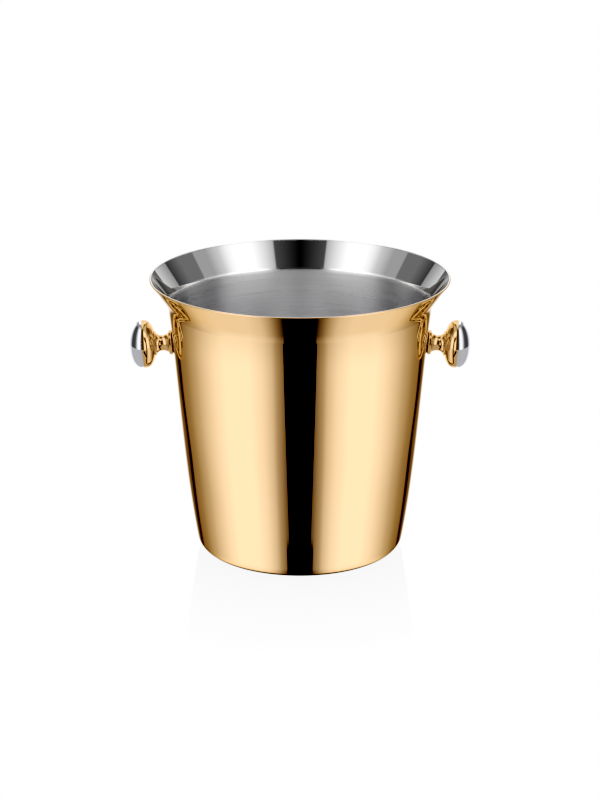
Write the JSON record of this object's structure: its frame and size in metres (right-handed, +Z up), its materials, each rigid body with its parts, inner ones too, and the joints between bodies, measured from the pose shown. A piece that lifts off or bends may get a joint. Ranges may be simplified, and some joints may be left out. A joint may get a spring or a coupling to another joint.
{
  "type": "champagne bucket",
  "caption": "Champagne bucket: spun steel body with a flared mouth, gold-toned outside and brushed inside, with a two-tone knob on a turned neck at each side.",
  "frame": {"origin": "centre of the face that the bucket stands on", "axes": "+Z up along the bucket's axis, +X through the knobs, -Y towards the viewer"},
  "size_m": [0.2522, 0.22, 0.208],
  "materials": {
    "bucket_steel": "polished",
    "knob_gold": "polished",
    "cap_chrome": "polished",
    "boss_brass": "satin",
    "gasket_rubber": "matte",
    "seal_silicone": "satin",
    "fixing_steel": "satin"
  },
  "bodies": {
    "root": {"bucket_body": "bucket_steel", "left_knob_cap": "cap_chrome", "left_knob_back": "knob_gold", "left_knob_boss": "boss_brass", "left_neck": "knob_gold", "left_outer_gasket": "gasket_rubber", "left_inner_seal": "seal_silicone", "left_inner_washer": "fixing_steel", "left_screw": "fixing_steel", "right_knob_cap": "cap_chrome", "right_knob_back": "knob_gold", "right_knob_boss": "boss_brass", "right_neck": "knob_gold", "right_outer_gasket": "gasket_rubber", "right_inner_seal": "seal_silicone", "right_inner_washer": "fixing_steel", "right_screw": "fixing_steel"}
  },
  "joints": []
}
